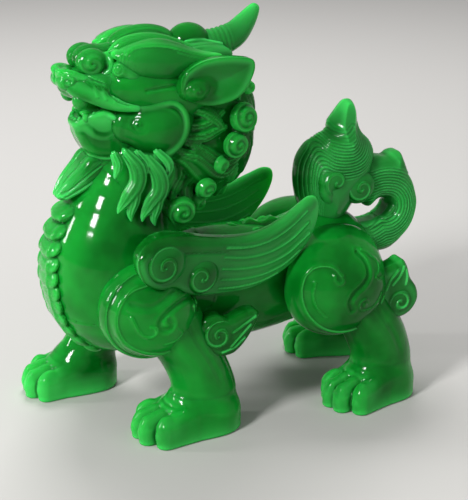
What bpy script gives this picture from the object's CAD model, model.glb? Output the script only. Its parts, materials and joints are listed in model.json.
"""Looks for the foo dog statue: every CAD member is re-carved here as a signed distance field,
meshed, and shown in its node's place. Lengths in the carving are millimetres in the part's frame."""
import json
from concurrent.futures import ThreadPoolExecutor
from functools import partial
from math import atan2, ceil, cos, pi, radians, sin, sqrt

import bpy
import numpy as np
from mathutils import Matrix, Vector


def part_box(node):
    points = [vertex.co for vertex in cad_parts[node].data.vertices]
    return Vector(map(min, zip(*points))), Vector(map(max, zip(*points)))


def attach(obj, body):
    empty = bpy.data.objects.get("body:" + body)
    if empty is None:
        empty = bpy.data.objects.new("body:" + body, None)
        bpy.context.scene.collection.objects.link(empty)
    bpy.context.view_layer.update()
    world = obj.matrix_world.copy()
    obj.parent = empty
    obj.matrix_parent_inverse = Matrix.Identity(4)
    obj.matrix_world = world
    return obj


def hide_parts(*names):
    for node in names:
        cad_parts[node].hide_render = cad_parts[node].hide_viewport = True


FINE = 1.0          # every grid step is multiplied by this
F = np.float32
MM = 1000                                  # millimetres in a metre
FAR = 1e3                                  # a distance beyond every member
TINY = 1e-4                                # keeps divisions away from zero
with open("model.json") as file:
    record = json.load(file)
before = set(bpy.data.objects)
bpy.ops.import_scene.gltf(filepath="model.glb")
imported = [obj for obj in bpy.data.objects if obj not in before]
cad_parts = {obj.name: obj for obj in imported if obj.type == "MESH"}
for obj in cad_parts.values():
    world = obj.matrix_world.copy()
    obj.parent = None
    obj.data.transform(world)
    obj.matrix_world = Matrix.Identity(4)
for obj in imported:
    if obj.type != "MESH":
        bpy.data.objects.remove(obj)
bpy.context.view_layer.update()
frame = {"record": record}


# ---------------- distance fields
def length(v):
    return np.sqrt(np.einsum("ij,ij->i", v, v))


def dots(a, b):
    return np.einsum("ij,ij->i", a, b)


def turn(pitch=0, yaw=0):
    """Rotation matrix: pitch about X, then yaw about Z, in degrees."""
    a, b = radians(pitch), radians(yaw)
    rx = np.array([[1, 0, 0], [0, cos(a), -sin(a)], [0, sin(a), cos(a)]])
    rz = np.array([[cos(b), -sin(b), 0], [sin(b), cos(b), 0], [0, 0, 1]])
    return (rz @ rx).astype(F)


def egg(P, c, r, pitch=0, yaw=0):
    """Ellipsoid round c with half sizes r."""
    q = P - np.array(c, F)
    if pitch or yaw:
        q = q @ turn(pitch, yaw)
    r = np.array(r, F)
    k0 = length(q / r)
    return k0 * (k0 - 1) / np.maximum(length(q / (r * r)), TINY)


def oval(*parts):
    """Ellipsoid from pairs of a coordinate and the half size there."""
    k0 = np.sqrt(sum((u / a) ** 2 for u, a in parts))
    k1 = np.sqrt(sum((u / a ** 2) ** 2 for u, a in parts))
    return k0 * (k0 - 1) / np.maximum(k1, TINY)


def smin(a, b, k):
    """The nearer of two forms, blended over a width k."""
    h = np.maximum(k - np.abs(a - b), 0) / k
    return np.minimum(a, b) - h * h * k * 0.25


def smax(a, b, k):
    return -smin(-a, -b, k)


def join(k, first, *others):
    """Several forms, each blended with those before it."""
    for d in others:
        first = smin(first, d, k)
    return first


def rounded(a, b, r):
    """Where two forms overlap, with the edge between them rounded by r."""
    a, b = a + r, b + r
    return np.sqrt(np.maximum(a, 0) ** 2 + np.maximum(b, 0) ** 2) + np.minimum(np.maximum(a, b), 0) - r


def outside(P, lo, hi):
    """Distance to a box, 0 inside it."""
    return length(np.maximum(np.maximum(lo - P, P - hi), 0))


def graph(x, at, values):
    """Straight lines from point to point, read at x."""
    return np.interp(x, at, values).astype(F)


def spline(pts, n, closed=False):
    """Catmull-Rom curve through points of any width, n steps from one to the next."""
    p = np.array(pts, float)
    if closed:
        q = np.vstack([p[-1], p, p[0], p[1]])
    else:
        q = np.vstack([2 * p[0] - p[1], p, 2 * p[-1] - p[-2]])
    out = []
    for i in range(1, len(q) - 2):
        a, b, c, d = q[i - 1:i + 3]
        for t in np.arange(n) / n:
            out.append(0.5 * (2 * b + (c - a) * t + (2 * a - 5 * b + 4 * c - d) * t ** 2
                              + (3 * b - a - 3 * c + d) * t ** 3))
    if not closed:
        out.append(q[-2])
    return np.array(out, F)


def from_line(P, a, b):
    """Offset from the nearest place between a and b, and how far along that is, 0 to 1."""
    ab = b - a
    pa = P - a
    t = np.clip(pa @ ab / max(float(ab @ ab), 1e-6), 0, 1)
    return pa - t[:, None] * ab, t


def tube(P, pts, n=4):
    """Round limb through rows of (x, y, z, radius)."""
    s = spline(pts, n)
    wide = s[:, 3:4]
    far = outside(P, (s[:, :3] - wide).min(0), (s[:, :3] + wide).max(0))
    m = far < 4
    Q = P[m]
    out = np.full(len(Q), FAR, F)
    for a, b in zip(s[:-1], s[1:]):
        o, t = from_line(Q, a[:3], b[:3])
        out = np.minimum(out, length(o) - (a[3] + t * (b[3] - a[3])))
    far[m] = out
    return far


def along(P, curve):
    """Nearest place on a polyline: how far along it is, 0 to 1, the offset and the tangent."""
    best = np.full(len(P), 1e9, F)
    where = np.zeros(len(P), F)
    off = np.zeros_like(P)
    tan = np.zeros_like(P)
    run = 0.0
    for a, b in zip(curve[:-1], curve[1:]):
        o, t = from_line(P, a, b)
        size = max(float(sqrt((b - a) @ (b - a))), 1e-6)
        d = dots(o, o)
        m = d < best
        best[m] = d[m]
        where[m] = run + t[m] * size
        off[m] = o[m]
        tan[m] = (b - a) / size
        run += size
    return where / run, off, tan


def sections(at, s):
    """The last two columns of a curve's rows, read at shares of its length."""
    size = np.concatenate([[0], np.cumsum(length(s[1:, :3] - s[:-1, :3]))])
    return [graph(at, (size / size[-1]).astype(F), s[:, i]) for i in (3, 4)]


def lock(P, rows, normal, grooves, depth, n):
    """Flat strand of hair through rows of (x, y, z, half width, half thickness), with grooves."""
    s = spline(rows, n)
    reach, least = 7, 3
    lo, hi = s[:, :3].min(0) - reach, s[:, :3].max(0) + reach
    out = outside(P, lo, hi) + least
    m = np.all((P > lo) & (P < hi), axis=1)
    if not m.any():
        return out
    at, off, tan = along(P[m], s[:, :3])
    a, b = sections(at, s)
    normal = np.array(normal, F)
    normal = normal / sqrt(float(normal @ normal))
    side = np.cross(tan, normal)
    side /= np.maximum(length(side), TINY)[:, None]
    u = dots(off, side)
    d = oval((u, a), (dots(off, np.cross(side, tan)), b), (dots(off, tan), a))
    out[m] = d + depth * (0.5 - 0.5 * np.cos(pi * grooves * (u / a + 1))) * np.minimum(a / 1.5, 1)
    return out


def squared(Q, s, most):
    """Squared distance to a polyline, no more than a given value."""
    best = np.full(len(Q), most, F)
    for a, b in zip(s[:-1], s[1:]):
        o, _ = from_line(Q, a, b)
        best = np.minimum(best, dots(o, o))
    return best


def near(P2, pts, reach):
    """Distance in a plane to a smooth line, up to a reach."""
    s = spline(pts, 5)
    out = np.full(len(P2), reach, F)
    m = np.all((P2 > s.min(0) - reach) & (P2 < s.max(0) + reach), axis=1)
    out[m] = np.sqrt(squared(P2[m], s, reach * reach))
    return out


def bump(d, w, h):
    """Round-topped ridge of half width w and height h, from a distance."""
    t = np.clip(1 - (d / w) ** 2, 0, 1)
    return h * t * t


def stroke(P2, pts, w, h):
    """Height of a smooth raised line drawn in a plane, with half width w."""
    return bump(near(P2, pts, w), w, h)


def shape2(P2, pts, n=5):
    """Signed distance in a plane to a smooth closed outline."""
    s = spline(pts, n, True)
    s = np.vstack([s, s[:1]])
    far = outside(P2, s.min(0), s.max(0))
    m = far < 5
    Q = P2[m]
    odd = np.zeros(len(Q), bool)
    x, y = Q[:, 0], Q[:, 1]
    for a, b in zip(s[:-1], s[1:]):
        if a[1] != b[1]:
            beyond = x < (b[0] - a[0]) * (y - a[1]) / (b[1] - a[1]) + a[0]
            odd ^= ((a[1] > y) != (b[1] > y)) & beyond
    d = np.sqrt(squared(Q, s, 1e9))
    far[m] = np.where(odd, -d, d)
    return far


def strands(q, rows):
    """Height of overlapping locks of hair, each (half width, height, points), combed with lines."""
    top = np.zeros(len(q), F)
    pitch, fine = 1.3, 0.13
    for w, h, pts in rows:
        e = near(q, pts, w)
        lines = fine * np.cos(2 * pi * e / pitch) * (e < w * 0.96)
        top = np.maximum(top, h * np.sqrt(np.maximum(1 - (e / w) ** 2, 0)) - lines)
    return top


def slab(d2, across, half, r):
    """Plate with rounded edges: an outline's distance, the distance from its middle plane."""
    return rounded(d2, np.abs(across) - half, r)


def swirl(P2, c, pitch, hand, phase=0.0):
    """Wave that runs out from a point as a spiral, from -1 to 1, and the distance from the point."""
    q = P2 - np.array(c, F)
    r = np.sqrt((q ** 2).sum(1))
    a = np.arctan2(q[:, 1], q[:, 0])
    return np.cos(2 * pi * r / pitch - hand * a + phase), r


def fade(r, a, b):
    """1 inside radius a, 0 outside radius b."""
    t = np.clip((b - r) / (b - a), 0, 1)
    return t * t * (3 - 2 * t)


# ---------------- meshing
EDGES = []                                 # of a grid cell, as pairs of corners
for axis in range(3):
    for slow in (0, 1):
        for quick in (0, 1):
            corner = np.insert([quick, slow], axis, 0)
            EDGES.append((corner, corner + np.eye(3, dtype=int)[axis]))
BLOCK = 8                                  # cells on each side of a block
BATCH = 400000                             # points worked out together


def batches(f, P):
    """A field at many points, so many at a time."""
    if not len(P):
        return np.zeros(0, F)
    return np.concatenate([f(P[i:i + BATCH]) for i in range(0, len(P), BATCH)])


def sample(f, lo, hi, h):
    """Field on a grid, worked out only in the blocks that the surface can reach."""
    margin = 1.5 * h
    lo = np.array(lo, F) - margin
    nb = np.array([ceil((hi[i] + margin - lo[i]) / h / BLOCK) for i in range(3)])
    g = np.stack(np.meshgrid(*[np.arange(k) for k in nb], indexing="ij"), -1).reshape(-1, 3)
    mid = lo + (g * BLOCK + BLOCK / 2).astype(F) * F(h)
    d = batches(f, mid)
    V = np.sign(d).reshape(nb) * 9
    for axis in range(3):
        V = np.repeat(V, BLOCK, axis)
    V = np.pad(V, ((0, 1),) * 3, mode="edge").astype(F)
    half_diagonal, steepest, slack = 0.87, 1.35, 0.9
    keep = g[np.abs(d) < BLOCK * h * half_diagonal * steepest + slack]
    c = np.stack(np.meshgrid(*[np.arange(BLOCK + 1)] * 3, indexing="ij"), -1).reshape(-1, 3)
    step = max(1, BATCH // len(c))
    for i in range(0, len(keep), step):
        ix = (keep[i:i + step, None, :] * BLOCK + c[None]).reshape(-1, 3)
        V[ix[:, 0], ix[:, 1], ix[:, 2]] = f(lo + ix.astype(F) * F(h))
    return V, lo


def nets(V, lo, h):
    """Surface nets: one vertex in each mixed cell, one quad across each crossed edge."""
    s = V < 0
    s[[0, -1]] = s[:, [0, -1]] = s[:, :, [0, -1]] = False
    V = np.where(s, np.minimum(V, -1e-5), np.maximum(V, 1e-5))
    n = s.astype(np.int8)
    x, y, z = [k - 1 for k in n.shape]
    near_far = (0, 1)
    c = sum(n[i:i + x, j:j + y, k:k + z] for i in near_far for j in near_far for k in near_far)
    cells = np.argwhere((c > 0) & (c < 8))
    number = np.full(c.shape, -1, np.int32)
    number[tuple(cells.T)] = np.arange(len(cells))
    pos = np.zeros((len(cells), 3), F)
    count = np.zeros(len(cells), F)
    for a, b in EDGES:
        va = V[tuple((cells + a).T)]
        vb = V[tuple((cells + b).T)]
        m = (va < 0) != (vb < 0)
        t = va[m] / (va[m] - vb[m])
        pos[m] += a + t[:, None] * (b - a)
        count[m] += 1
    verts = lo + (cells + pos / count[:, None]).astype(F) * F(h)
    quads = []
    for axis in range(3):
        u, w = (axis + 1) % 3, (axis + 2) % 3
        du, dw = np.eye(3, dtype=int)[[u, w]]
        e = np.argwhere(np.diff(s, axis=axis))
        e = e[(e[:, u] > 0) & (e[:, w] > 0)]
        outward = ~s[tuple(e.T)]
        q = np.stack([number[tuple((e - step).T)] for step in (du + dw, dw, 0 * du, du)], 1)
        q[outward] = q[outward][:, ::-1]
        quads.append(q)
    return verts, np.concatenate(quads)


def gradient(f, P):
    e = 0.12
    g = np.zeros_like(P)
    for k in ((1, 1, 1), (1, -1, -1), (-1, 1, -1), (-1, -1, 1)):
        k = np.array(k, F)
        g += k * batches(f, P + k * F(e))[:, None]
    return g / (4 * e)


def carve(f, lo, hi, h):
    """Mesh of a field: vertices, quads and outward normals, pulled onto the surface itself."""
    V, lo = sample(f, lo, hi, h)
    P, Q = nets(V, lo, h)
    flattest, stride = 0.09, 0.45 * h
    for _ in range(2):
        g = gradient(f, P)
        move = -(batches(f, P) / np.maximum(dots(g, g), flattest))[:, None] * g
        size = np.maximum(length(move), 1e-6)
        P = P + move * np.minimum(1, stride / size)[:, None]
    g = gradient(f, P)
    return P.astype(F), Q, g / np.maximum(length(g), TINY)[:, None]


DEPTHS = ((0.35, 1.6), (0.3, 4), (0.35, 8))    # shares of the thickness, and how deep each is felt
CREASE = 0.9                                   # how far out another form makes a crease dark
JOBS = []
PIECES = []


def centre(node):
    lo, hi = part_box(node)
    return (np.array(lo, float) + np.array(hi, float)) * MM / 2


def piece(node, drawn, f, lo, hi, h, mirror=False, twin=None, whole=None):
    """Books a carved member, shown in its CAD node's place. drawn is where that node's box was
    centred when the member was drawn, so the carving follows the node if the CAD moves it. lo and
    hi are the corners of its grid, h is the grid step. A twin is the name of the same member on the
    right side, shown mirrored. whole is the form that the member was cut from, which says how thick
    the resin is there."""
    JOBS.append((node, np.array(drawn, float), f, lo, hi, h * FINE, mirror, twin, whole or f))


def pair(name, drawn, f, lo, hi, h):
    piece("left_" + name, drawn, f, lo, hi, h, twin="right_" + name)


def shaped(job):
    """A booked member's vertices and quads, with how thin the resin is and how deep in a crease."""
    _, _, f, lo, hi, h, _, _, whole = job
    P, Q, N = carve(f, lo, hi, h)
    deep = sum(share * np.clip(-batches(whole, P - N * d) / d, 0, 1) for share, d in DEPTHS)
    pit = np.clip(1 - batches(whole, P + N * CREASE) / CREASE, 0, 1)
    return P, Q, 1 - deep, pit


# What is added to a member's thinness (it looks lighter) and to its creases (it looks deeper).
TONES = {
    "brow": 0.22, "forehead_crest": 0.22, "upper_jaw": 0.1, "horn_base": 0.1, "horn": 0.1,
    "ear": -0.3, "upper_lip": 0.12, "nostrils": 0.06, "chin_beard": 0.04, "cheek_locks": -0.2,
    "wing": -0.1, "right_wing": 0.08, "wing_scrolls": -0.16, "elbow_flame": -0.18,
    "tail_flame": 0.2, "tail_lock": 0.18, "tail_scrolls": -0.1, "front_paw": 0.2,
    "right_front_paw": 0.45, "hind_paw": 0.18, "right_hind_paw": 0.45, "trunk": -0.06,
}
SHADES = {"cheek": 0.5, "trunk": 0.22}
TOE_TOP, TOE_FADE = 12, 7                      # a paw's tone is added below the first, over the second


def show(node, P, Q, thin, pit):
    """Makes the mesh of a member, in place of its CAD node."""
    mesh = bpy.data.meshes.new(node + "_carved")
    mesh.vertices.add(len(P))
    mesh.vertices.foreach_set("co", (P / MM).astype(F).ravel())
    mesh.loops.add(4 * len(Q))
    mesh.loops.foreach_set("vertex_index", Q.ravel().astype(np.int32))
    mesh.polygons.add(len(Q))
    mesh.polygons.foreach_set("loop_start", np.arange(0, 4 * len(Q), 4, dtype=np.int32))
    mesh.polygons.foreach_set("use_smooth", np.ones(len(Q), bool))
    mesh.update(calc_edges=True)
    plain_name = node.replace("left_", "").replace("right_", "")
    low = np.clip((TOE_TOP - P[:, 2]) / TOE_FADE, 0, 1) if "paw" in node else 1
    thin = np.clip(thin + low * TONES.get(node, TONES.get(plain_name, 0)), 0, 1)
    pit = np.clip(pit + SHADES.get(plain_name, 0), 0, 1)
    for name, data in (("thin", thin), ("pit", pit)):
        mesh.attributes.new(name, "FLOAT", "POINT").data.foreach_set("value", data.astype(F))
    o = bpy.data.objects.new(node + "_look", mesh)
    bpy.context.scene.collection.objects.link(o)
    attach(o, "root")
    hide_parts(node)
    PIECES.append((o, node))


def build():
    """Carves every booked member, four at a time, and puts the meshes into the scene in order."""
    flip = np.array([-1, 1, 1])            # to the other side of the plane X = 0
    with ThreadPoolExecutor(4) as pool:
        for job, (P, Q, thin, pit) in zip(JOBS, pool.map(shaped, JOBS)):
            node, drawn, _, _, _, _, mirror, twin, _ = job
            R = Q[:, ::-1]
            if mirror:
                show(node, P * flip + centre(node) - drawn * flip, R, thin, pit)
            else:
                show(node, P + centre(node) - drawn, Q, thin, pit)
            if twin:
                show(twin, P * flip + centre(twin) - drawn * flip, R, thin, pit)


# ---------------- trunk
def torso(P):
    chest = egg(P, (0, -38.2, 46), (20.3, 19.8, 24.5))
    barrel = egg(P, (0, -4, 37.5), (17.5, 44, 18))
    rump = egg(P, (0, 30.5, 40.5), (17.5, 17.5, 17))
    neck = tube(P, [(0, -38, 56, 16.2), (0, -34, 70, 14.2), (0, -27.5, 84, 11.6)], 3)
    return join(7, chest, barrel, rump, neck)


def nape(P):
    """Seam between trunk and neck, hidden under the jaw in front and under the mane behind."""
    return (P[:, 2] - np.maximum(79 - 0.95 * (P[:, 1] + 42), 62)) * 0.72


TUCK = 2.5                                 # how far a cut form runs on under its neighbour


def kept(f, seam):
    """The side of a form where seam is negative, sloping in under its neighbour beyond it."""
    return np.maximum(f + 0.15 * np.clip(seam, 0, TUCK), seam - TUCK)


def trunk(P):
    return kept(torso(P), nape(P))


def neck(P):
    return kept(torso(P), -nape(P))


piece("trunk", (0, -4.2, 44.2), trunk, (-22, -60, 18), (22, 50, 90), 0.68, whole=torso)
piece("neck", (0, -33.7, 72), neck, (-18, -50, 50), (18, -8, 98), 0.55, whole=torso)


def skin(f, o, d):
    """Distance along a ray from inside a field to its surface, found by halving."""
    a, b = 0.0, 60
    for _ in range(24):
        m = (a + b) / 2
        if f(np.array([[o[i] + d[i] * m for i in range(3)]], F))[0] < 0:
            a = m
        else:
            b = m
    return a


PLATES = []                                # middle, half width and pitch, from the top down
for i in range(11):
    lean = 56 - 12.4 * i
    d = (0, -cos(radians(lean)), sin(radians(lean)))
    r = skin(torso, (0, -38, 46), d) - 0.7
    half_width = 5.4 + 3.2 * sin(pi * (i + 0.8) / 11.5)
    PLATES.append(((0, -38 + d[1] * r, 46 + d[2] * r), half_width, -lean - 9))


def plates(P):
    rows = (egg(P, c, (wide, 2, 4.2), pitch=tilt) for c, wide, tilt in PLATES)
    return join(0.35, *rows) - 0.3 * fade(np.abs(np.abs(P[:, 0]) - 4.6), 0.2, 1.3)


piece("chest_plates", (0, -50.3, 44.2), plates, (-11, -62, 16), (11, -34, 73), 0.36)


def crest(P):
    """Glassy fin along the back, with a wavy edge and a low frill on each side."""
    y = P[:, 1]
    x = np.abs(P[:, 0])
    z = 56 - 0.0045 * (y - 12) ** 2 + 0.6 * np.cos(y * 0.95)
    sway = 0.7 * np.sin(y * 0.7)
    fin = np.maximum(np.abs(P[:, 0] - sway) - 0.9 - 0.28 * np.maximum(z - P[:, 2], 0), P[:, 2] - z)
    frill = np.sqrt((x - 4.2 - 0.5 * np.cos(y * 0.95 + 1)) ** 2 + (P[:, 2] - z + 2.4) ** 2) - 0.9
    bed = np.sqrt((x / 5.2) ** 2 + ((P[:, 2] - z + 4.6) / 3) ** 2) * 3 - 3
    d = smin(smin(fin, bed, 1.6), frill, 1.4) * 0.8
    return smax(d, np.maximum(-2 - y, y - 30.5), 1.5)


piece("spine_crest", (0, 13.9, 55), crest, (-8, -3, 47), (8, 31.5, 59), 0.34)


# ---------------- head
def folded(P):
    """Points brought to the +X side, for a member that is the same on both sides."""
    A = P.copy()
    A[:, 0] = np.abs(P[:, 0])
    return A


def skull(P):
    A = folded(P)
    d = egg(A, (0, -20.5, 101.5), (15, 21, 13.2))
    d = smin(d, egg(A, (0, -25, 106), (13.5, 15, 8.5)), 4)
    d = smin(d, egg(A, (10.2, -33, 103.2), (4.4, 7.5, 4.6), yaw=-14), 4)
    lid = tube(A, [
        (9.3, -38.9, 107, 0.9), (11.4, -37.2, 105.4, 1.2), (12.8, -33.8, 105, 1.3),
        (13.4, -30.2, 104.4, 1.1), (13.6, -27, 103.8, 0.6)])
    d = smin(d, lid, 0.9)
    crease = [(-31, 103.2), (-26, 103.6), (-21, 103.9), (-17, 105.4)]
    d += (A[:, 0] > 8) * stroke(A[:, 1:], crease, 0.9, 0.5)
    mouth = egg(P, (0, -43, 96.2), (7.2, 15, 3.8), pitch=-5)
    return smax(d, -mouth, 1.5)


piece("skull", (0, -20, 101.5), skull, (-18, -44, 86), (18, 2, 118), 0.42)

LIP = [
    (-50.6, 108.6), (-47.6, 107.4), (-44.2, 106), (-41.6, 104.8), (-40.4, 102.6), (-39, 100.4),
    (-35.6, 99),
]


def muzzle(P):
    A = folded(P)
    d = egg(A, (0, -41, 103.9), (8.2, 11.2, 5), pitch=5)
    d = smin(d, egg(A, (6.6, -41.5, 103.4), (3.4, 7.6, 4.2), yaw=-12, pitch=-4), 2.5)
    band = tube(A, [
        (3.4, -50.6, 105.2, 2), (5.8, -48.2, 103.2, 2.4), (8, -44.6, 101.7, 2.4), (9.9, -40.8, 99.9, 2.1),
        (11.4, -36.6, 98.6, 1.7), (12.2, -33, 98, 1.2)])
    d = smin(d, band, 0.9)
    ring = tube(A, [
        (6.9, -39.6, 107.6, 0.9), (8.6, -38.6, 106.2, 1.2), (9.8, -38.2, 103.8, 1.3),
        (10.8, -37.6, 101.2, 1.1)])
    d = smin(d, ring, 0.8)
    for i in range(3):
        y, z = -44.6 + 2.3 * i, 104.2 - 0.9 * i
        wrinkle = [(y - 1.6, z + 2), (y, z), (y + 0.6, z - 2.4 + 0.2 * i)]
        d -= (A[:, 0] > 4) * stroke(A[:, 1:], wrinkle, 0.8, 0.3)
    return d + (A[:, 0] > 3.5) * stroke(A[:, 1:], LIP, 0.6, 0.4)


piece("upper_jaw", (0, -41.6, 103), muzzle, (-14, -54, 95), (14, -29, 111), 0.33)


def lip(P):
    """Curled front of the upper lip: a lobe on each side of the snout and a thin rim on top."""
    A = folded(P)
    d = egg(A, (0, -50.4, 105.4), (3.6, 3.2, 2.6), pitch=20)
    d = smin(d, egg(A, (3.8, -49.4, 105.2), (3.2, 3.9, 2.9), yaw=-14, pitch=16), 1.2)
    d = smin(d, tube(A, [
        (0, -51.9, 107, 1.0), (3, -51.9, 107.5, 1.3), (5.6, -49.6, 107.4, 1.2), (7, -46.6, 106.4, 1.0),
        (7.6, -44, 105.2, 0.7)]), 0.7)
    curl_in, r = swirl(A[:, 1:], (-50.6, 105.4), 2.2, 1)
    d += (A[:, 0] > 3.5) * 0.22 * curl_in * fade(r, 1.4, 2.4)
    return smax(d, -egg(A, (0, -54.2, 106.4), (0.8, 2.4, 3)), 0.8)


piece("upper_lip", (0, -49.4, 103.5), lip, (-10, -56, 99), (10, -42, 111), 0.28)


def nose(P):
    d = egg(P, (0, -43.6, 110.4), (4.2, 4, 3.7))
    return smin(d, tube(P, [(0, -42, 110.9, 3), (0, -37.5, 111.8, 2.6)], 2), 2)


def nostril(P):
    A = folded(P)
    d = egg(A, (4.7, -43.4, 110.2), (3.9, 4.6, 3.9), yaw=-12)
    curl_in, r = swirl(A[:, 1:], (-44.2, 110.2), 2.7, -1, 0.6)
    on = (A[:, 0] > 4.5) * 1.0
    d -= on * 0.2 * curl_in * fade(r, 2.6, 4.2)
    d += on * 0.45 * fade(r, 0.1, 1.0)
    ring = tube(A, [
        (6.2, -39.4, 112.4, 0.8), (7.6, -38.7, 110.6, 1.0), (8, -39, 108.4, 1.0), (7.6, -40.8, 106.9, 0.8)])
    return smin(d, ring, 0.9)


piece("nose", (0, -42.5, 110.3), nose, (-6, -50, 105), (6, -33, 116), 0.33)
piece("nostrils", (0, -43, 108.5), nostril, (-10, -49, 104), (10, -36, 116), 0.28)

JAW = [
    (-48.9, 92.6), (-47.4, 93.8), (-45.8, 94.8), (-44.2, 95.6), (-42.4, 96.4), (-40.6, 96.4),
    (-38.8, 95.2), (-37, 92.9), (-34, 90), (-30, 87.4), (-27, 84.6), (-29.5, 81.8), (-35, 80.9),
    (-40.6, 80.6), (-44, 82), (-46.2, 84.8), (-47.6, 87.8), (-48.5, 90.2),
]


def lower_jaw(P):
    A = folded(P)
    q = A[:, 1:]
    half = graph(q[:, 0], [-50, -47.5, -44.5, -40, -35, -26], [3.2, 5, 6.8, 8.4, 9.8, 10.6])
    half = half - 0.05 * np.maximum(88 - q[:, 1], 0) ** 1.5
    d = slab(shape2(q, JAW), A[:, 0], half, 2.2)
    d = smax(d, -egg(A, (0, -39.2, 97.2), (6.6, 9.6, 6.2), pitch=-16), 0.7)
    rim = tube(A, [
        (0, -48.2, 92.7, 0.8), (3.2, -47.8, 93, 0.85), (5.4, -46, 94.4, 0.9), (6.8, -43.4, 95.6, 0.9),
        (8, -40.8, 96.2, 0.85), (9, -38.6, 94.9, 0.9), (10, -36.2, 92.2, 1.0), (10.8, -33.4, 89.2, 1.1),
        (11.6, -29.4, 86.6, 1.1)])
    d = smin(d, rim + 0.2, 1.7)
    for pts in ([(-47.4, 89.6), (-45.8, 86.7), (-43, 85), (-40, 84.8)],
                [(-46, 92.2), (-43.6, 90), (-40.8, 89.6), (-38.2, 91)]):
        d -= (A[:, 0] > 2) * stroke(q, pts, 1.4, 0.35)
    fold = [(-47.8, 85.4), (-44.6, 84), (-40.8, 83.4), (-37, 84.4), (-33.6, 86.6)]
    return d + (A[:, 0] > 3) * stroke(q, fold, 0.8, 0.5)


piece("lower_jaw", (0, -39.5, 87.4), lower_jaw, (-15, -53, 78), (15, -22, 99.5), 0.33)


def tongue(P):
    d = smin(egg(P, (0, -39.8, 93), (4.4, 6.6, 1.7), pitch=-16), egg(P, (0, -33, 92.4), (8.4, 7, 5)), 2)
    return d + bump(np.abs(P[:, 0]), 0.9, 0.5)


piece("tongue", (0, -40.9, 92.1), tongue, (-10, -50, 86), (10, -25, 99.5), 0.36)


def chin(P):
    A = folded(P)
    d = egg(A, (2.8, -39, 81.2), (4.9, 4.9, 3.8), yaw=-8)
    return smin(d, egg(A, (0, -37, 82), (7, 7, 4)), 2)


piece("chin", (0, -42.7, 80.7), chin, (-9, -46, 75), (9, -27, 88), 0.33)


def upper_teeth(P):
    """Round knobs under the front of the upper lip."""
    A = folded(P)
    d = egg(A, (0, -49.6, 102.2), (1.8, 1.8, 2))
    d = smin(d, egg(A, (5.8, -47.4, 99.9), (2.3, 2.4, 2.6)), 0.6)
    return smin(d, egg(A, (3, -49.2, 102.6), (1.6, 1.6, 1.7)), 0.6)


def lower_teeth(P):
    A = folded(P)
    d = egg(A, (0, -47.9, 93), (0.9, 0.9, 1.1))
    for x, y, z, r in ((1.9, -47.8, 93.1, 0.9), (3.7, -47.1, 93.6, 0.95), (5.3, -45.7, 94.6, 1.2),
                       (6.4, -43.7, 95.4, 0.85)):
        d = smin(d, egg(A, (x, y, z), (r, r, r * 1.3)), 0.3)
    return d


piece("upper_teeth", (0, -46.9, 98.5), upper_teeth, (-11, -54, 95), (11, -37, 106), 0.28)
piece("lower_teeth", (0, -47.8, 92.6), lower_teeth, (-11, -53, 89), (11, -40, 99.5), 0.26)

FOLD = [
    (10.8, -37.4, 99.4, 1.1), (11.8, -33.6, 98.4, 1.3), (12.8, -30, 98.3, 1.4), (13.7, -26.2, 98.9, 1.4),
    (14.4, -22.8, 98.8, 1.3), (15, -20.4, 96.8, 1.25), (15.2, -19.4, 93.4, 1.2), (15, -19.8, 89.6, 1.2),
    (14.4, -21.8, 86.2, 1.2), (13.6, -25, 83.9, 1.2), (12.6, -29, 83.2, 1.2), (11.4, -33, 84, 1.1),
    (10.2, -36.6, 85.8, 1.0),
]


def cheek(P):
    q = P[:, 1:]
    d = egg(P, (10.6, -28.6, 91.2), (5.5, 8.4, 6.2), yaw=-8)
    ripple, r = swirl(q, (-33.2, 93.4), 1.8, 1)
    d -= 0.14 * ripple * fade(r, 1.6, 2.6) - 0.35 * fade(r, 1.4, 2.8)
    d = smin(d, egg(P, (9, -25.4, 91.6), (6.9, 10.6, 9.2)), 0.8)
    d = smin(d, egg(P, (8.4, -34.8, 92.2), (3.7, 4.8, 5.2)), 1.5)
    d = smin(d, tube(P, FOLD) + 0.3, 1.3)
    inner = tube(P, [
        (12.6, -31.4, 96.8, 0.4), (13.6, -27.4, 97.4, 0.5), (14.4, -23.8, 96.8, 0.55),
        (14.7, -21.6, 94.6, 0.55), (14.7, -21.2, 90.8, 0.5), (14.1, -22.8, 87.6, 0.4)])
    return smin(d, inner, 0.6)


pair("cheek", (10.5, -25.7, 91.9), cheek, (1, -42, 79), (19, -14, 103), 0.33)


def eye(P):
    v = P - np.array((10.6, -37, 108.7), F)
    d = length(v) - F(2.55)
    look = np.array((0.78, -0.6, 0.2), F)
    ahead = v @ look
    r = length(v - ahead[:, None] * look)
    d += (ahead > 0) * bump(np.abs(r - 1.25), 0.3, 0.22)
    leaf = egg(P, (12.2, -34.6, 107.6), (1.5, 4.6, 1.9), yaw=-12, pitch=-38)
    return smin(d, leaf, 0.6)


pair("eye", (9.6, -36.4, 108), eye, (7, -42, 104), (16, -28, 113), 0.26)


def brow(P):
    rows = spline([
        (8.8, -37.4, 112.6, 1.8, 1.4), (10.2, -35, 112, 3.6, 3.2), (11, -31, 111.2, 5, 5.3),
        (11.4, -26.6, 110.8, 5.5, 6), (11.8, -22, 110.4, 5.2, 5.3), (12.2, -17.4, 110, 4.2, 4),
        (12.6, -13, 110, 2.8, 2.5), (12.8, -8.8, 110.4, 1.3, 1.1)], 5)
    at, off, _ = along(P, rows[:, :3])
    a, b = sections(at, rows)
    d = oval((off[:, 0], a), (off[:, 2], b), (off[:, 1], a))
    ridge = [
        (-36.4, 113.6), (-33.6, 115.2), (-29, 115.8), (-24, 115.1), (-19, 113.4), (-14, 111.9),
        (-9.4, 111.2)]
    for pts, w, h in ((ridge, 0.8, 0.42), ([(-22, 113.4), (-17, 111.8), (-12, 110.5)], 0.6, 0.2)):
        d -= (P[:, 0] > 9) * stroke(P[:, 1:], pts, w, h)
    return d


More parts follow.
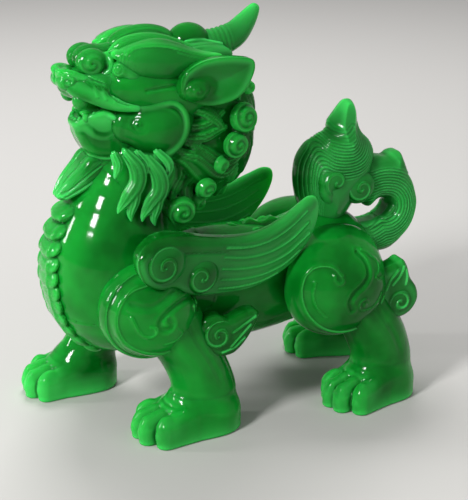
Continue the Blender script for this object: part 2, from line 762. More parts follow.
pair("brow", (11.6, -23.8, 112.1), brow, (4, -42, 103), (19, -6, 119), 0.34)


def crown(P):
    """Three long petals of the forehead between the brows, parted in front over the nose."""
    A = folded(P)
    d = egg(A, (0, -27.4, 113.6), (4.4, 10.2, 5.3), pitch=2)
    side = tube(A, [
        (5.2, -37.6, 112.6, 1.4), (5.8, -34.4, 114.4, 2.2), (6, -29.4, 115, 2.6), (6, -23.6, 114.4, 2.5),
        (6.2, -17.6, 112.6, 2), (6.8, -11, 111, 1.3)])
    d = smin(d, side, 1.0)
    d = smin(d, egg(A, (0, -27, 109.6), (9.4, 13.5, 5)), 1.0)
    d += (A[:, 2] > 113) * stroke(A[:, ::2], [(2.6, 121), (2.6, 110)], 0.6, 0.25)
    return smax(d, -egg(A, (3.4, -38.6, 113.8), (1.3, 2.6, 2.4), pitch=-20), 0.5)


piece("forehead_crest", (0, -28.3, 114.1), crown, (-12, -44, 103), (12, -6, 121), 0.34)


def horn_base(P):
    A = folded(P)
    d = egg(A, (0, -13, 112.3), (5.9, 6.6, 6.1), pitch=-4)
    d = smin(d, egg(A, (5.4, -11, 109.8), (4.6, 9.5, 3.4), pitch=-2), 0.8)
    for i in range(3):
        ridge = tube(A, [
            (8.2 - 1.1 * i, -16, 112.2 + i * 0.9, 0.5), (7.4 - 1.1 * i, -10, 112 + i * 0.8, 0.65),
            (6.2 - 0.9 * i, -4.4, 110.6 + i * 0.9, 0.5)], 3)
        d = smin(d, ridge, 0.6)
    return d


piece("horn_base", (0, -12.1, 115), horn_base, (-11, -22, 104), (11, 0, 121), 0.34)


def horn(P):
    d = tube(P, [
        (0, -9.5, 111.8, 4), (0, -5, 111.9, 4.2), (0, -1.6, 112.6, 4.2), (0, 1.8, 114.2, 3.8),
        (0, 4.6, 117, 3.1), (0, 6.6, 119.5, 2.3), (0, 7.6, 120.9, 1.7)], 6)
    t = P[:, 1] + 0.2 * (P[:, 2] - 112)
    ribs = 0.12 * np.cos(2 * pi * t / 1.5) * np.clip((0.4 - t) / 1.2, 0, 1) * np.clip((t + 9) / 1.5, 0, 1)
    return (d - ribs) * 0.95


piece("horn", (0, 0.3, 114.9), horn, (-6, -15, 106), (6, 11, 124.5), 0.28)

EAR = [
    (-22.3, 103.6), (-21.7, 106.9), (-19.6, 109.2), (-16.6, 110.8), (-13, 111.6), (-8.8, 111.8),
    (-4.6, 111.4), (-1.6, 110.6), (-0.9, 108.2), (-1.7, 105.2), (-3.2, 102.2), (-5.6, 99.8), (-9.2, 98.4),
    (-13.6, 98), (-18, 98.9), (-21.2, 101),
]


def ear(P):
    q = P[:, 1:]
    d2 = shape2(q, EAR)
    mid = 17.4 + 0.08 * (q[:, 0] + 18) + 0.10 * (q[:, 1] - 104)
    across = P[:, 0] - mid
    body = slab(d2, across, 2.4, 1.1)
    cup = 2.1 * np.clip(-(d2 + 0.1) / 7.5, 0, 1) ** 0.9 * np.clip(1.35 - 0.05 * (q[:, 1] - 99), 0.5, 1)
    d = smax(body, across - 2.2 + cup, 0.9)
    d = smin(d, egg(P, (18.6, -18, 103), (2.9, 3.3, 3.1)), 0.4)
    curl_in, r = swirl(q, (-18, 103), 2.6, 1, 0.5)
    d -= (P[:, 0] > 19) * 0.2 * curl_in * fade(r, 1.6, 2.8)
    leaf = tube(P, [(17.8, -14, 100.2, 0.8), (17.9, -11.2, 101, 1.2), (17.8, -8.2, 101.2, 0.6)], 3)
    d = smin(d, leaf, 0.6)
    return smin(d, tube(P, [(12.5, -18, 103, 4.4), (15.5, -15.5, 103.6, 4.2)], 2), 2)


pair("ear", (18.3, -11.5, 104.4), ear, (8, -25, 94), (25, 2, 114.5), 0.33)


# ---------------- mane
SIDE_LOCKS = [
    (2.6, 2, [(-22, 98.6), (-17.4, 98.4), (-13, 98), (-9.6, 98.9), (-6, 99.6), (-2.4, 98)]),
    (2.5, 2.2, [(-21.2, 95.2), (-17, 96), (-12.8, 94.8), (-10, 92.4), (-8, 89.8)]),
    (2.3, 1.8, [(-21, 92), (-18, 90.8), (-14.4, 91), (-10.8, 92.4), (-8, 94.6)]),
    (2.4, 2.1, [(-21.6, 89.4), (-18, 88), (-14, 88.2), (-10.8, 89.4), (-7.4, 90.4)]),
    (2.6, 1.9, [
        (-20.4, 87.2), (-16.4, 85.6), (-13, 83), (-10, 80.9), (-6.4, 80), (-3, 80.9), (-1, 83.4)]),
    (2.8, 2.3, [
        (-24, 86.2), (-19.6, 83.4), (-16.2, 82.4), (-13, 79.6), (-10.4, 77.2), (-6.8, 76.2), (-3.4, 78.4)]),
    (2.8, 2, [
        (-26, 84.6), (-22.8, 83.2), (-19.6, 81.8), (-16.8, 78.6), (-14.2, 76), (-11, 74.4), (-8, 74.4)]),
    (2.7, 2.4, [
        (-26.4, 82.6), (-23.4, 80.6), (-23.2, 77.4), (-25, 74), (-26.6, 71), (-26.8, 68.4), (-24.6, 65.6)]),
    (2.6, 2.1, [(-21.4, 81.6), (-19.9, 78.6), (-20.4, 75.4), (-22, 72.6), (-22.8, 70)]),
    (2.5, 2.3, [(-18, 80), (-17, 76.6), (-18.2, 73.6), (-18.4, 70.4), (-16.4, 68.2), (-13, 68.6)]),
]
BACK_LOCKS = [
    (2.6, 1.5, [(2.4, 107), (3.4, 101), (2.2, 95), (3.4, 89), (2.2, 83), (3.6, 77), (2.8, 71), (4.4, 66)]),
    (2.6, 1.5, [(7.2, 105), (8.4, 99), (7, 93), (8.4, 87), (7.2, 81), (8.6, 75), (7.6, 70)]),
    (2.6, 1.4, [(12, 103), (12.6, 97), (11.4, 91), (13, 85), (11.8, 79), (12.6, 74)]),
]


def coat(P):
    A = folded(P)
    d = egg(A, (0, -11, 84.2), (14.3, 15.8, 19.2), pitch=-14)
    return smin(d, egg(A, (0, -6.5, 95), (12.8, 11.2, 10.6)), 4)


def combed_lock(w, h, pts):
    """Rows for a strand laid on the flank of the coat."""
    rows = []
    for i, (y, z) in enumerate(pts):
        t = i / (len(pts) - 1)
        slim = min(1, 0.45 + 1.7 * min(t, 1 - t))
        x = max(skin(coat, (0, y, z), (1, 0, 0)), 10.5)
        rows.append((x - 0.2, y, z, w * slim, h * (0.55 + 0.45 * slim)))
    return rows


STRANDS = [combed_lock(*row) for row in SIDE_LOCKS]


def mane(P):
    A = folded(P)
    d = coat(P)
    back = np.clip((A[:, 1] + 3) / 4, 0, 1) * np.clip((14.5 - A[:, 0]) / 4, 0, 1)
    d -= back * strands(A[:, ::2], BACK_LOCKS)
    return join(0.25, d, *(lock(A, rows, (1, 0.2, 0), 4, 0.32, 4) for rows in STRANDS))


piece("mane", (0, -9, 82.4), mane, (-20, -30, 60), (20, 10, 108), 0.42)


def curl(P, c, r, axis, hand):
    """A round boss with a spiral worked into it, facing along axis."""
    n = np.array(axis, F)
    n = n / sqrt(float(n @ n))
    q = P - np.array(c, F)
    out = length(q) - F(r * 0.7)
    m = out < r + 2
    q = q[m]
    h = q @ n
    d = np.sqrt(np.maximum(dots(q, q) - h * h, 0) / r ** 2 + (h / (r * 0.66)) ** 2 + 1e-9)
    e1 = np.cross(n, np.array((0, 0, 1), F))
    e1 = e1 / max(sqrt(float(e1 @ e1)), TINY)
    flat = np.stack([q @ e1, q @ np.cross(e1, n)], 1).astype(F)
    s, rr = swirl(flat, (0, 0), 2.2, hand)
    out[m] = (d - 1) * r * 0.74 - (h > 0) * 0.32 * s * fade(rr, r * 0.8, r * 1.02)
    return out


CURLS = [
    ((15.2, -2.2, 92.8), 4.5, (1, 0.35, 0.05), 1), ((15.8, -4.9, 85.2), 4, (1, 0.3, -0.1), 1),
    ((15.4, -14, 73), 3.3, (1, 0.2, -0.3), 1), ((16.4, -22, 67.6), 4.4, (1, 0.05, -0.15), -1),
    ((15.4, -0.8, 101.8), 2.3, (1, 0.6, 0.2), 1), ((15.2, -9, 79.6), 2.8, (1, 0.6, -0.2), -1),
    ((10.2, 1.2, 90.4), 3.9, (0.6, 1, 0), -1), ((8.4, -3.6, 75.4), 3.6, (0.5, 1, -0.3), -1),
    ((3.8, 3.2, 82.6), 3.5, (0.15, 1, 0), 1), ((3.8, -5.4, 69.6), 3.4, (0.2, 1, -0.5), 1),
    ((10.6, -14.6, 67.8), 3.2, (0.8, 0.5, -0.6), 1),
]


def mane_curls(P):
    return np.minimum.reduce([curl(P, *row) for row in CURLS])


pair("mane_curls", (11.5, -6.6, 80.2), mane_curls, (-1, -31, 60), (22, 9, 106), 0.3)

HANGING = [
    [(15.2, -37.6, 86, 1.4, 1.2), (17, -35.2, 82, 2.4, 1.7), (18, -35.4, 78, 2.5, 1.8),
     (18.3, -38.2, 74, 2.3, 1.6), (17.6, -40.2, 71.2, 1.2, 1), (17, -41, 69.6, 0.4, 0.5)],
    [(18, -35.6, 77.5, 1.4, 1.3), (18.4, -36.6, 73, 1.7, 1.4), (18, -37.6, 69.4, 1.2, 1),
     (17.6, -37.4, 67, 0.4, 0.5)],
    [(16.2, -31.6, 84, 1.4, 1.2), (18.2, -29.2, 79.6, 2.4, 1.7), (19, -29.2, 75.4, 2.5, 1.8),
     (19, -32, 71.4, 2.3, 1.5), (18.4, -33.8, 68.4, 1.1, 0.9), (18, -34.2, 66.6, 0.4, 0.5)],
    [(19, -29.4, 75, 1.4, 1.3), (19.1, -30.2, 71, 1.7, 1.4), (18.6, -31, 67.4, 1.2, 1),
     (18.2, -30.6, 65, 0.4, 0.5)],
    [(15.2, -34.2, 85.6, 1.2, 1), (16.8, -32.4, 82.6, 1.6, 1.2), (17.4, -32.4, 80, 0.5, 0.5)],
    [(15, -28.2, 85, 1.4, 1.1), (16.8, -26, 81.8, 1.9, 1.3), (17.4, -26.6, 77.8, 0.5, 0.5)],
    [(14, -40.6, 85.6, 1.2, 1), (15.2, -40, 82.6, 1.5, 1.1), (15.4, -41, 79.4, 0.5, 0.5)],
]


def cheek_locks(P):
    """Two hanging locks, each combed and forked at the end, and short tufts above them."""
    return join(0.4, *(lock(P, rows, (1, -0.25, 0), 3, 0.3, 5) for rows in HANGING))


pair("cheek_locks", (16.3, -32.6, 75.6), cheek_locks, (9, -45, 63), (23, -21, 90), 0.26)

BEARD = [
    (-44.6, 83.4), (-48.2, 80), (-51.6, 76.6), (-54.2, 73), (-54.6, 71.2), (-52.6, 70.6), (-49, 72.2),
    (-45, 74.4), (-40, 76), (-36.5, 78), (-38, 82.6),
]


def beard(P):
    A = folded(P)
    q = A[:, 1:]
    half = graph(q[:, 0], [-55, -52, -47, -40], [3, 5, 6.6, 7])
    d = slab(shape2(q, BEARD), A[:, 0], half, 1.9)
    t = A[:, 0] - half * 0.36
    d += bump(t, 0.6, 0.45) * (q[:, 0] < -42)
    for pts in ([(-42, 81.4), (-46.4, 78.4), (-50.4, 75), (-53.6, 72.4)],
                [(-40, 79), (-44.6, 76.8), (-49, 74), (-52.6, 71.8)]):
        d += (A[:, 0] > 3) * stroke(q, pts, 0.65, 0.4)
    return d


piece("chin_beard", (0, -48.2, 77.5), beard, (-10, -57, 68), (10, -34, 86), 0.3)


# ---------------- wings
WING = [
    (-40.8, 58.2), (-39.8, 61.9), (-36, 64.8), (-31.4, 65.4), (-25, 64.2), (-17, 62), (-8, 60.4),
    (0, 60.2), (7.5, 62), (13.5, 64.8), (18, 67.1), (21.2, 66.4), (22, 62.8), (20.2, 57.2), (16.4, 51.8),
    (11, 47), (4, 44), (-4, 42.7), (-13, 43.6), (-20, 44.6), (-25.4, 46.8), (-29.4, 49.6), (-34, 50),
    (-38.8, 53.2),
]
LEADING_EDGE = [
    (-37.4, 61), (-33, 63), (-26, 61.9), (-17, 59.7), (-7, 58), (1.5, 58.2), (9, 60.6), (14.6, 63.4),
    (18.6, 65),
]
FEATHERS = [
    [(-12, 58.4), (-4, 56.9), (4, 57.3), (11, 59.8), (17, 63.4)],
    [(-12.6, 55.4), (-5, 53.7), (3, 53.6), (10.5, 55.6), (17.4, 59.8)],
    [(-13.4, 52), (-5.6, 50.4), (2.6, 50), (10, 51.8), (17.8, 56.4)],
    [(-13.8, 48.8), (-6.4, 47.2), (1.4, 46.9), (8.4, 48.4), (14.2, 51.6)],
    [(-14.6, 46), (-7.4, 44.8), (0, 44.7), (6.4, 46)],
]


def wing(P):
    q = P[:, 1:]
    d2 = shape2(q, WING)
    outer = 30.9 - 0.24 * (q[:, 0] + 30) - 0.010 * (q[:, 1] - 55) ** 2
    half = np.clip(3.3 - 0.042 * (q[:, 0] + 30), 1.2, 3.3)
    across = P[:, 0] - (outer - half)
    d = slab(d2, across, half, 1.6)
    front = across > 0
    for line in FEATHERS:
        e = near(q, line, 1.6)
        d -= bump(e, 0.42, 0.36) - front * bump(e - 0.85, 0.5, 0.12)
    d -= stroke(q, LEADING_EDGE, 2.4, 0.55)
    return d + front * stroke(q, [(-28, 59.6), (-20, 58.3), (-12, 56.8)], 0.6, 0.3)


pair("wing", (23.8, -8.5, 54.5), wing, (10, -44, 39), (37, 25, 71), 0.3)


def wing_scrolls(P):
    """Two flat bosses at the wing root, each with a raised spiral line."""
    bosses = []
    for y, z, r, hand, phase in ((-32.3, 57.4, 7, -1, 0.9), (-20.4, 51.4, 5.9, 1, 3.4)):
        x = 28.9 - 0.24 * (y + 30)
        boss = egg(P, (x - 0.4, y, z), (3.1, r * 1.08, r * 0.97), yaw=13.5)
        s, rr = swirl(P[:, 1:], (y - 0.4, z), 3.6, hand, phase)
        line = np.clip(s * 1.8 - 0.8, 0, 1) * fade(rr, r * 0.74, r * 0.9)
        bosses.append(boss - (P[:, 0] > x) * 0.45 * line)
    return join(0.4, *bosses)


pair("wing_scrolls", (30.7, -26.5, 55.5), wing_scrolls, (18, -42, 43), (36, -6, 67), 0.28)


# ---------------- shoulders, haunches
def line_work(q, raised, cut):
    """Height of raised lines and sunk lines on a rounded face: rows of (width, height, points)."""
    out = np.zeros(len(q), F)
    for w, h, pts in raised:
        out = np.maximum(out, stroke(q, pts, w, h))
    for w, h, pts in cut:
        e = near(q, pts, w * 2.4)
        out += bump(e - w * 1.5, w * 0.8, h * 0.3) - bump(e, w, h)
    return out


SHOULDER_RIM = [
    (-37.6, 54.6), (-43.4, 52.8), (-47, 48.6), (-48.2, 43.4), (-46.6, 38.2), (-43, 34.8), (-38, 32.6),
    (-33, 31.8), (-28, 33), (-24.6, 36.4), (-23.2, 41), (-24.4, 45.2),
]
SHOULDER_HOOK = [
    (-22.6, 46.2), (-26.4, 48), (-30.4, 47.6), (-33.8, 46), (-36.2, 43.8), (-36, 41.6), (-34, 40.8),
    (-32.7, 42.2), (-33.6, 43.8),
]


def shoulder(P):
    P = P - np.array((0.3, 1.7, -2.4), F)
    d = egg(P, (20.5, -36.2, 43.2), (11.6, 14.6, 14.6))
    q = P[:, 1:]
    on = P[:, 0] > 21
    raised = [
        (1.0, 0.6, SHOULDER_RIM),
        (0.8, 0.5, [
            (-44.2, 45.4), (-43, 42.4), (-41.6, 40.2), (-39.4, 39.1), (-37.7, 40), (-37.7, 41.8),
            (-39, 42.4)]),
        (0.55, 0.35, [(-30.6, 40.4), (-29, 38.2), (-31, 36.2), (-34.6, 35.8)])]
    cut = [
        (1.1, 0.6, SHOULDER_HOOK),
        (1.1, 0.4, [(-32, 51), (-35, 49.4), (-38, 48.2), (-41, 48.2), (-43.6, 49)])]
    d -= on * line_work(q, raised, cut)
    r = np.sqrt(((q - np.array((-36.2, 43.2), F)) ** 2).sum(1))
    return d + on * 0.5 * fade(np.abs(r - 12.9), 0.3, 1.0)


HAUNCH_RIM = [
    (20.8, 48.6), (18.6, 51.2), (14.4, 51.4), (10.8, 48.6), (9.2, 43.6), (10.2, 37.8), (13.6, 33),
    (18.4, 29.8), (24, 28.6), (29.4, 29.4), (34, 32.8), (37.4, 38),
]


def haunch(P):
    P = P - np.array((0, 2.3, -2.6), F)
    d = egg(P, (20.5, 24, 41.2), (11.6, 16.6, 15.6))
    d = smin(d, egg(P, (13, 27.5, 48), (9, 13.5, 10)), 6)
    q = P[:, 1:]
    on = P[:, 0] > 20
    raised = [
        (0.95, 0.65, HAUNCH_RIM),
        (0.8, 0.5, [(20.8, 48.6), (21.1, 46.9), (19.9, 46.1), (18.7, 47.2), (18.6, 48.6)]),
        (0.6, 0.4, [
            (29.4, 54.4), (32.6, 52), (34.8, 49.6), (34.4, 47.2), (32.9, 46.2), (34.2, 44.9), (36, 45.2)]),
        (0.6, 0.4, [
            (29.9, 38.6), (28.4, 40.2), (26.5, 39.2), (26.6, 37.2), (28.6, 36.2), (31.4, 36.4),
            (33.8, 37.8), (35.4, 40.4)]),
        (0.55, 0.35, [(13, 46.6), (12.2, 42.6), (13.4, 38.6), (16.4, 35.4)])]
    cut = [(1.0, 0.65, [
        (27.6, 53.6), (29.8, 50.6), (29.8, 47.2), (27.6, 44.8), (24.6, 42.8), (23.1, 40), (24, 37.4)])]
    d -= on * line_work(q, raised, cut)
    r = np.sqrt(((q - np.array((28.3, 38.3), F)) ** 2).sum(1))
    return d - on * 0.4 * fade(r, 0.3, 1.3)


pair("shoulder", (23.4, -34.5, 41), shoulder, (8, -51, 24), (34.5, -18, 57), 0.34)
pair("haunch", (22.7, 26, 38), haunch, (3, 7, 21), (34, 46, 58), 0.34)


# ---------------- legs and paws
def leg(P, rows):
    """Leg of oval sections: rows of (x, y, z, half width, half depth), from the top down."""
    s = spline(rows, 4)[::-1]
    z = P[:, 2]
    x0, y0, a, b = [graph(z, s[:, 2], s[:, i]) for i in (0, 1, 3, 4)]
    u, v = P[:, 0] - x0, P[:, 1] - y0
    d = smax(oval((u, a), (v, b)), np.maximum(z - s[-1, 2], s[0, 2] - z), 1.0)
    on = (u > 0) * np.clip((z - 14) / 5, 0, 1)
    d -= on * 0.45 * fade(np.abs(v + 1.5 + 0.10 * (z - 20)), 0.4, 3.2)
    return d + on * 0.35 * fade(np.abs(v - 3.4), 0.2, 1.4)


SHANKS = {
    "left_fore": [
        (20.8, -30, 40, 8.5, 11), (21.2, -25.4, 31, 8.3, 10.8), (21, -21.2, 24, 7.8, 10),
        (20.8, -18.2, 17, 7.7, 9.8), (20.9, -17.2, 11, 7.6, 9.9), (21, -17, -2, 7.4, 9.6)],
    "right_fore": [
        (20.5, -35, 40, 8.5, 10.5), (20.8, -34.4, 31, 8.3, 10.4), (20.8, -35, 24, 7.8, 9.9),
        (20.8, -38, 17, 7.7, 9.9), (20.9, -41.6, 11, 7.6, 9.9), (21, -42.6, -2, 7.4, 9.6)],
    "left_hind": [
        (20.5, 29, 40, 8, 11), (21.2, 34, 31, 8.5, 11.4), (21.8, 38.6, 24, 8, 10.6),
        (21.9, 41.6, 17, 7.8, 10), (22, 42.6, 11, 7.6, 9.8), (22.1, 42.6, -2, 7.4, 9.6)],
    "right_hind": [
        (20.5, 33, 40, 8, 11), (19, 38, 31, 8.5, 11.4), (17, 43, 24, 8, 10.6), (15.4, 47, 17, 7.8, 10),
        (14.8, 48.8, 11, 7.6, 9.8), (14.6, 49, -2, 7.4, 9.6)]}
TOES = ((-6.7, -28.6, 2.7), (-2.3, -31.6, 2.75), (2.4, -31.2, 2.75), (7, -27.4, 2.9))
SEAM = 12.6                                # height where a leg meets its paw


def rod(q, a, b, ra, rb):
    """Flat bar with round ends, from a to b."""
    o, t = from_line(q, np.array(a, F), np.array(b, F))
    return np.sqrt((o ** 2).sum(1)) - ra - t * (rb - ra)


def paw(P, x0, heel, longer, out):
    """Flat-soled paw: its heel at x0, heel, its toes turned out by some degrees from -Y."""
    q = (P - np.array((x0, heel, 0), F)) @ turn(yaw=out)
    q[:, 1] += longer * np.clip(-q[:, 1] / 16, 0, 1)
    y, z = q[:, 1], q[:, 2]
    plan = rod(q[:, :2], (0, -8.4), (0, -17.5), 8.1, 8.7)
    top = graph(y, [-32, -29.5, -26, -22.5, -18, -13, -4], [7.2, 8.8, 9.5, 9.7, 11.2, 11.4, 8.6])
    for cx, tip, r in TOES:
        plan = smin(plan, rod(q[:, :2], (cx * 0.85, -16), (cx, tip + r), r, r), 0.5)
    groove = np.zeros(len(P), F)
    for between in (-4.5, 0.05, 4.7):
        lean = between * (0.8 + 0.2 * np.clip((-16 - y) / 12, 0, 1))
        groove = np.maximum(groove, bump(q[:, 0] - lean, 1.3, 1.0) * np.clip((-18.5 - y) / 7, 0, 1))
    for cx, _, _ in TOES:
        top = top + 0.5 * fade(np.sqrt((q[:, 0] - cx * 0.95) ** 2 + (y + 24.5) ** 2), 0.3, 2.6)
    top = top - 0.05 * np.abs(q[:, 0]) ** 1.25
    d = rounded(plan, z - top + groove, 3)
    for cx, tip, _ in TOES:
        d = smin(d, egg(q, (cx, tip + 1.3, 3.4), (1.7, 1.7, 2.3)), 0.5)
    for i in range(3):
        ends = (-15 - 1.6 * i, 10.2 - 0.4 * i, 0.4)
        middle = (-18.6 - 1.7 * i, 11.2 - 0.8 * i, 0.75)
        fold = tube(q, [(-6.4, *ends), (-3, *middle), (3, *middle), (6.4, *ends)])
        d = smin(d, fold, 0.8)
    return d


def foot(P, limb, shape):
    """Leg and paw as one flowing form, shared by both members."""
    return smax(smin(leg(P, SHANKS[limb]), paw(P, *shape), 4), -P[:, 2], 0.8)


def shank(P, limb, shape):
    return kept(foot(P, limb, shape), SEAM - P[:, 2])


def sole(P, limb, shape):
    return kept(foot(P, limb, shape), P[:, 2] - SEAM)


for limb, leg_at, paw_at, shape in (
        ("left_fore", (21, -22.5, 25.3), (21.5, -22.4, 6), (21.2, -6.4, 1.8, 2)),
        ("right_fore", (21, -38.3, 23.2), (21.5, -48.1, 6), (21.2, -32, -1.4, 0)),
        ("left_hind", (21.7, 39.2, 23.4), (24.4, 37.8, 6), (20, 53, 0, 12)),
        ("right_hind", (17.3, 43, 24), (17.6, 44.1, 6), (12, 59, 0, 16))):
    side, end = limb.split("_")
    front, back = shape[1] - 36, shape[1] + 4
    leg_name, paw_name = ("foreleg", "front_paw") if end == "fore" else ("hind_leg", "hind_paw")
    shared = {"mirror": side == "right", "whole": partial(foot, limb=limb, shape=shape)}
    piece(side + "_" + leg_name, leg_at, partial(shank, limb=limb, shape=shape),
          (4, front, 9), (35, back, 43), 0.42, **shared)
    piece(side + "_" + paw_name, paw_at, partial(sole, limb=limb, shape=shape),
          (0, front, -1), (38, back, 16), 0.32, **shared)

ELBOW = [
    (-20.6, 34.4), (-18.8, 37.6), (-14.8, 37.8), (-11.4, 36.2), (-8, 37.2), (-4.8, 38), (-2.2, 37.2),
    (-2.4, 34.6), (-4.8, 30.4), (-7.6, 27), (-10.8, 24.9), (-15.4, 25.2), (-19.4, 28.6),
]
HOCK = [
    (37.4, 42.4), (41, 43.6), (44.2, 44.6), (46.8, 45.8), (48.6, 43.4), (49.8, 39.6), (52.2, 35.8),
    (52.6, 31.8), (50, 28), (45.6, 26.6), (40.4, 28),
]


def spiral_line(q, c, pitch, hand, phase, inner, outer):
    """Thin raised spiral that dies out between two radii, and the distance from its middle."""
    s, r = swirl(q, c, pitch, hand, phase)
    return np.clip(s * 1.5 - 0.5, 0, 1) * fade(r, inner, outer), r


def flame(P, outline, x, half, r, eye_at, pitch, hand, phase, reach, leaves):
    """Flame-shaped tuft: a plate with a raised spiral and a few leaf lines."""
    q = P[:, 1:]
    d = slab(shape2(q, outline, 6), P[:, 0] - x, half, r)
    on = P[:, 0] > x
    line, rr = spiral_line(q, eye_at, pitch, hand, phase, reach, reach + 1)
    d -= on * (0.55 * line + 0.45 * fade(rr, reach * 0.6, reach + 1))
    for pts in leaves:
        d -= on * stroke(q, pts, 0.6, 0.5)
    return d


def elbow(P):
    return flame(P, ELBOW, 24.6, 3.2, 1.6, (-15.2, 32), 3.1, -1, 1.2, 4.2, (
        [(-10.6, 32.2), (-7, 34.2), (-3.4, 36.2)], [(-11.2, 27.8), (-8.4, 30.4), (-5, 33.8)],
        [(-14, 26.3), (-10.2, 27.4), (-7, 30)]))


def hock(P):
    return flame(P, HOCK, 22.6, 4, 2.1, (45.8, 32.4), 2.8, 1, 0.5, 3.2, (
        [(43, 38.4), (45.4, 41), (46.8, 44)], [(47.6, 38), (48, 40.6), (47.6, 43)],
        [(40.6, 37), (42, 40), (44.6, 43)]))


pair("elbow_flame", (25, -11.8, 33.3), elbow, (18, -23, 22), (31, 1, 41), 0.28)
pair("hock_tuft", (24, 45.8, 38.4), hock, (15, 34, 24), (30, 56, 49), 0.28)


# ---------------- tail
def tail_root(P):
    d = tube(P, [(0, 31.4, 46, 9), (0, 31.2, 50, 7.4), (0, 33, 60, 6)], 3)
    q = P - np.array((0, 31.4, 50.4), F)
    ring = np.sqrt((np.sqrt(q[:, 0] ** 2 + q[:, 1] ** 2) - 7.8) ** 2 + q[:, 2] ** 2) - 1.0
    return smin(d, ring, 1)


piece("tail_root", (0, 36.9, 53), tail_root, (-12, 22, 44), (12, 50, 62), 0.36)

BULB = [
    (39.6, 91.4), (37.6, 90.8), (34.6, 87.4), (32.6, 84.8), (31.9, 82.4), (29.2, 81), (25, 78.4),
    (22, 74), (21.2, 68.4), (21.8, 62.6), (23.6, 57.4), (26.2, 52.4), (31, 49.4), (35.8, 50.4),
    (39.4, 54), (42.4, 58), (46, 62), (48.4, 67), (49, 73), (47.6, 77.2), (44.6, 80.4), (43, 83.6),
    (42.4, 87.6), (41.2, 90.4),
]
TIP_CREASE = [(31.8, 83.8), (33.4, 82.2), (36.4, 81.8), (38.8, 83.4)]


def combed(e, pitch, fine, start, stop):
    """Fine lines that follow a distance, between two values of it."""
    ends = np.clip((e - start) / 0.8, 0, 1) * np.clip((stop - e) / 1.5, 0, 1)
    return fine * np.cos(2 * pi * e / pitch) * ends


def tail_flame(P):
    q = P[:, 1:]
    d2 = shape2(q, BULB)
    deep = np.clip(-d2, 0, 11)
    half = 1.0 + 8.4 * (1 - (1 - deep / 11) ** 2.2)
    half = np.where(q[:, 1] > 79, np.minimum(half, 7.8 - 0.45 * (q[:, 1] - 79)), half)
    d = smax(d2, (np.abs(P[:, 0]) - half) * 0.62, 1.6)
    e = near(q, TIP_CREASE, 16)
    d += bump(e, 0.6, 0.22) + bump(e - 1.2, 0.45, 0.12)
    flank = fade(q[:, 0], 24.5, 31.5)
    flow = e * (1 - flank) + (deep + 5) * flank
    return d - combed(flow, 0.92, 0.13, 2, 14.5) * (q[:, 1] < 84)


piece("tail_flame", (0, 37, 72.9), tail_flame, (-12, 19, 47.5), (12, 51.5, 93.5), 0.29)


def tail_scrolls(P):
    """Two low scrolls on the bulb: a comma and a ring."""
    q = P[:, 1:]
    d = egg(P, (7, 31.6, 68.2), (2.9, 5.2, 5))
    comma = tube(P, [
        (7.7, 28.4, 67.4, 1.9), (7.6, 28.7, 64, 1.9), (7.2, 30.8, 61, 1.5), (6.4, 33.6, 58.6, 0.7)])
    d = smin(d, comma, 0.9)
    d -= (P[:, 0] > 7.4) * 0.4 * spiral_line(q, (31.9, 67.6), 3.2, 1, 2.2, 3.8, 5)[0]
    e = egg(P, (6.6, 40.6, 64.4), (3.1, 5.8, 5.4))
    e -= (P[:, 0] > 7) * 0.4 * spiral_line(q, (40.6, 64.4), 3, -1, 0.4, 4, 5.2)[0]
    return smin(d, e, 0.4)


pair("tail_scrolls", (8.2, 38.9, 62.6), tail_scrolls, (3, 24, 56), (13, 48, 75), 0.27)

TAIL_LOCK = [
    (44, 71.6), (49, 72.4), (53, 71.9), (55.2, 73), (57.6, 73), (59.2, 70.2), (61.2, 65.4), (63.4, 60.4),
    (64.4, 55), (62.8, 49), (59, 44.2), (54.2, 40.8), (48.6, 40.8), (43, 44), (40.4, 48.6), (40.8, 51.2),
    (44.4, 51.2), (48.4, 51.4), (51.9, 52.8), (54, 55.4), (53, 57.9), (50, 58.2), (46.6, 56), (43.8, 59),
    (42.4, 66),
]


def tail_lock(P):
    q = P[:, 1:]
    d2 = shape2(q, TAIL_LOCK)
    deep = np.clip(-d2, 0, 5)
    half = 3 + 3.4 * (1 - (1 - deep / 5) ** 2)
    d = smax(d2, (np.abs(P[:, 0]) - half) * 0.75, 1.4)
    hole = [(42.6, 53.4), (46.4, 54.6), (49.6, 56.2), (51.8, 56)]
    lines = combed(near(q, hole, 16), 0.95, 0.14, 3.4, 14) * np.clip(q[:, 0] + q[:, 1] * 0.5 - 70, 0, 1)
    rim = [(41, 51.6), (44.6, 50.8), (48.6, 50.9), (52.4, 52.6), (54.4, 55.2)]
    return d - lines - (np.abs(P[:, 0]) > 2) * stroke(q, rim, 1.2, 0.5)


piece("tail_lock", (0, 54.8, 57.5), tail_lock, (-9, 38, 38), (9, 66.5, 76.5), 0.265)

build()


# ---------------- resin
def material(name):
    m = bpy.data.materials.new(name)
    m.use_nodes = True
    return m, m.node_tree.nodes["Principled BSDF"].inputs


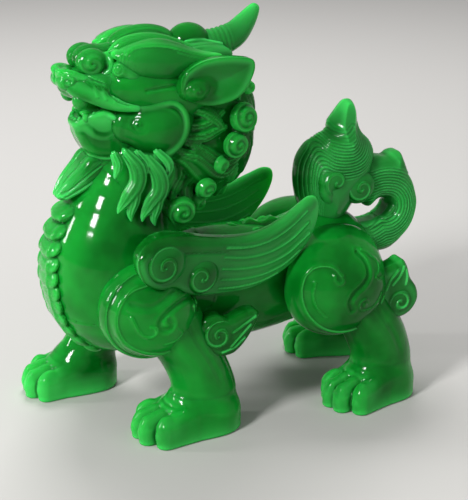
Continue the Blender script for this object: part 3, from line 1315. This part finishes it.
def resin(name, deep, body, light, roughness):
    """Clouded glossy resin, lighter where a member is thin and darker in its creases."""
    m, surface = material(name)
    new, link = m.node_tree.nodes.new, m.node_tree.links.new

    def measured(attribute):
        node = new("ShaderNodeAttribute")
        node.attribute_name = attribute
        return node.outputs["Fac"]

    def ranged(value, least, most, top=1.0):
        """The value stretched from least..most to 0..top."""
        node = new("ShaderNodeMapRange")
        for socket, number in (("From Min", least), ("From Max", most), ("To Max", top)):
            node.inputs[socket].default_value = number
        link(value, node.inputs["Value"])
        return node.outputs["Result"]

    def mixed(factor, first, second):
        """A blend of two colours; the first may be the result of another blend."""
        node = new("ShaderNodeMix")
        node.data_type = "RGBA"
        if isinstance(first, tuple):
            node.inputs["A"].default_value = (*first, 1)
        else:
            link(first, node.inputs["A"])
        node.inputs["B"].default_value = (*second, 1)
        link(factor, node.inputs["Factor"])
        return node.outputs["Result"]

    cloud = new("ShaderNodeTexNoise")
    cloud.inputs["Scale"].default_value = 55
    cloud.inputs["Detail"].default_value = 3
    link(new("ShaderNodeNewGeometry").outputs["Position"], cloud.inputs["Vector"])
    crease = (deep[0] * 0.5, deep[1] * 0.55, deep[2] * 0.5)
    color = mixed(ranged(cloud.outputs["Fac"], 0.35, 0.65), deep, body)
    color = mixed(ranged(measured("thin"), 0.3, 1.0), color, light)
    color = mixed(ranged(measured("pit"), 0.15, 0.9, 0.75), color, crease)
    link(color, surface["Base Color"])
    for socket, value in (("Roughness", roughness), ("IOR", 1.45), ("Specular IOR Level", 0.16),
                          ("Subsurface Weight", 0.85), ("Subsurface Radius", (0.2, 1.0, 0.4)),
                          ("Subsurface Scale", 0.0045), ("Coat Weight", 0.1), ("Coat Roughness", 0.03)):
        surface[socket].default_value = value
    return m


LOOKS = {
    name.replace(" ", "_"): resin(name, *colors, roughness) for name, roughness, *colors in (
        ("jade body", 0.1, (0.001, 0.12, 0.008), (0.005, 0.28, 0.023), (0.04, 0.54, 0.09)),
        ("jade detail", 0.12, (0.001, 0.08, 0.005), (0.004, 0.19, 0.015), (0.025, 0.42, 0.06)),
        ("jade thin", 0.1, (0.001, 0.08, 0.005), (0.003, 0.16, 0.012), (0.05, 0.56, 0.11)))
}
slot_of = {s["node"]: s["material_slot"] for s in frame["record"]["subparts"]}
for o, node in PIECES:
    o.data.materials.append(LOOKS[slot_of[node]])


# ---------------- stage
bpy.ops.mesh.primitive_plane_add(size=6, location=(0, 0, 0))
floor = bpy.context.object
floor.name = "floor"
paint, surface = material("floor")
surface["Base Color"].default_value = (0.47, 0.46, 0.445, 1)
surface["Roughness"].default_value = 0.7
floor.data.materials.append(paint)

world = bpy.data.worlds.new("studio")
bpy.context.scene.world = world
bpy.context.scene.view_settings.view_transform = "Standard"
world.use_nodes = True
background = world.node_tree.nodes["Background"].inputs
background["Color"].default_value = (1, 1, 1, 1)
background["Strength"].default_value = 0.34


def lamp(name, place, aim, size, power, mirrored=True):
    """Rectangular lamp turned to a place. One that is not mirrored leaves no highlight."""
    light = bpy.data.lights.new(name, "AREA")
    light.shape = "RECTANGLE"
    light.size, light.size_y = size
    light.energy = power
    o = bpy.data.objects.new(name, light)
    bpy.context.scene.collection.objects.link(o)
    o.location = place
    o.visible_glossy = mirrored
    d = np.array(aim, float) - np.array(place, float)
    o.rotation_euler = (atan2(sqrt(d[0] ** 2 + d[1] ** 2), -d[2]), 0, atan2(d[1], d[0]) - pi / 2)


lamp("window", (0.35, -0.75, 0.62), (0, 0, 0.06), (0.17, 0.2), 10)
lamp("sky", (-0.45, 0.1, 0.75), (0, 0, 0.06), (0.4, 0.4), 6, False)
lamp("fill", (0.8, 0.45, 0.4), (0, 0, 0.05), (0.4, 0.4), 1.2, False)
lamp("side window", (-0.34, -0.85, 0.3), (0, 0, 0.05), (0.09, 0.26), 3)

TARGET, AZIMUTH, ELEVATION, DISTANCE, LENS = (0, 0.0014, 0.0468), 67, 20, 0.4, 92.9
a, e = radians(AZIMUTH), radians(ELEVATION)
back = np.array([sin(a) * cos(e), -cos(a) * cos(e), sin(e)])
cam = bpy.data.objects.new("camera", bpy.data.cameras.new("camera"))
bpy.context.scene.collection.objects.link(cam)
cam.location = np.array(TARGET) + DISTANCE * back
cam.rotation_euler = (pi / 2 - e, 0, a)
cam.data.sensor_width = 36
cam.data.lens = LENS
cam.data.clip_start = 0.01
bpy.context.scene.camera = cam
